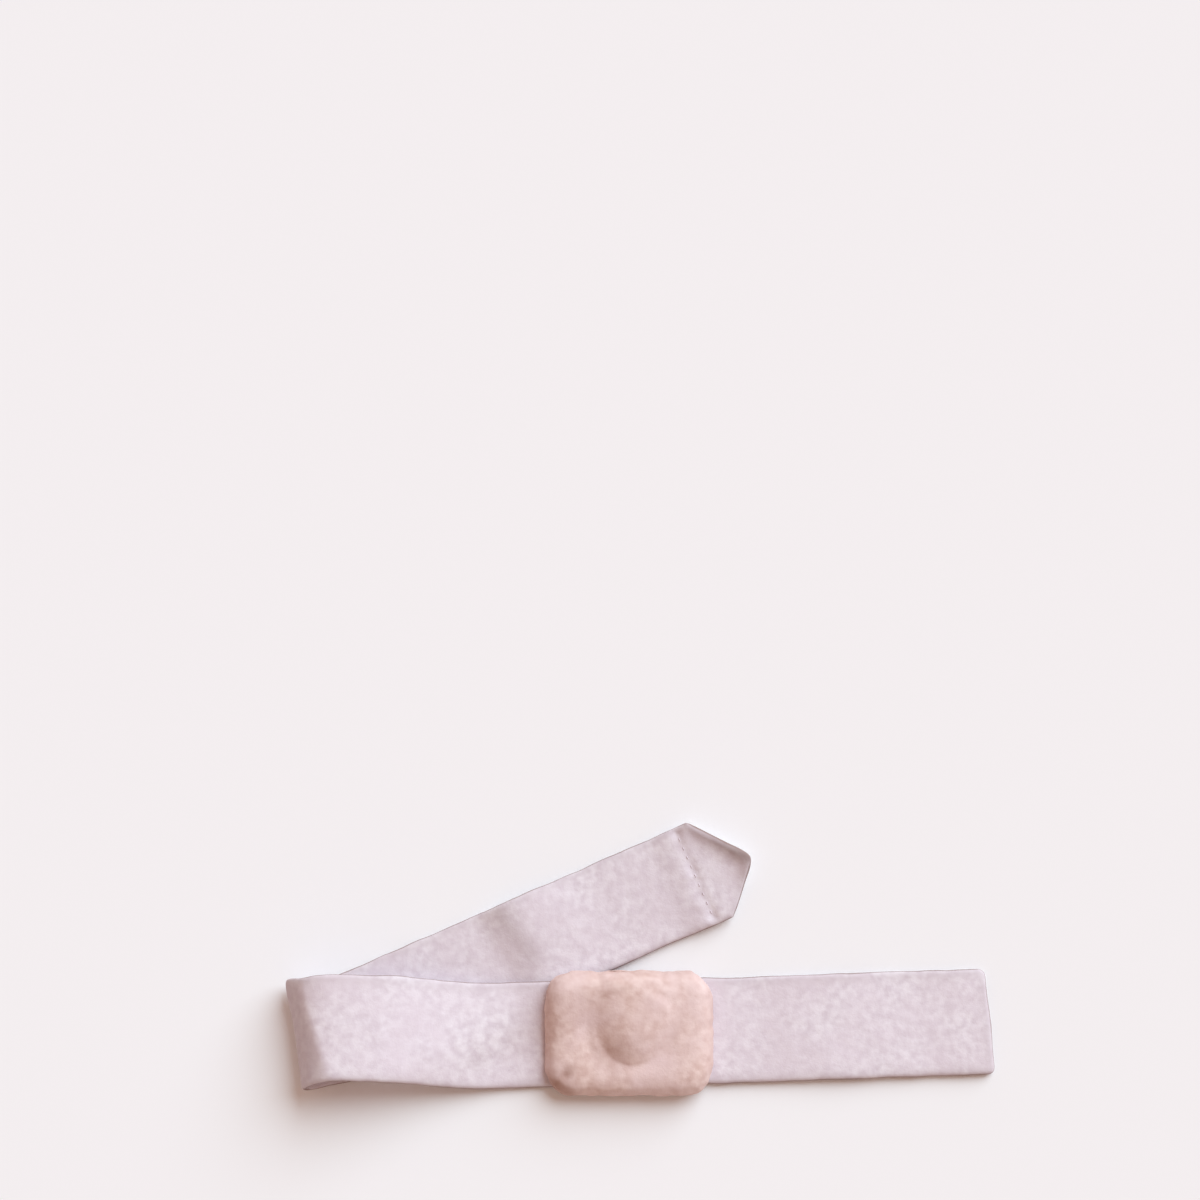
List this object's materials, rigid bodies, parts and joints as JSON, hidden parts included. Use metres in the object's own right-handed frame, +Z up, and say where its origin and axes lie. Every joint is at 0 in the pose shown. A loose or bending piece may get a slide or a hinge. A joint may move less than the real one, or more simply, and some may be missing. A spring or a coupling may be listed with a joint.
{
  "type": "hernia belt",
  "caption": "Infant umbilical hernia belt laid flat: soft strap folded under in a loop, cushioned pad with a round boss, pointed tip with a hook patch beneath.",
  "frame": {"origin": "middle of the belt's footprint, on the surface that it lies on", "axes": "+X along the front run towards its square end, +Y towards the side that the tail comes out on, +Z up"},
  "size_m": [0.2688, 0.1032, 0.0196],
  "materials": {
    "strap_fabric": "brushed loop pile on thin foam, matt, pale lavender white",
    "pad_fabric": "soft brushed plush over foam, matt, pale beige pink",
    "hook_tape": "woven nylon tape with short moulded hooks, matt white"
  },
  "bodies": {
    "root": {"belt_strap": "strap_fabric", "pad": "pad_fabric", "hook_patch": "hook_tape"}
  },
  "joints": []
}
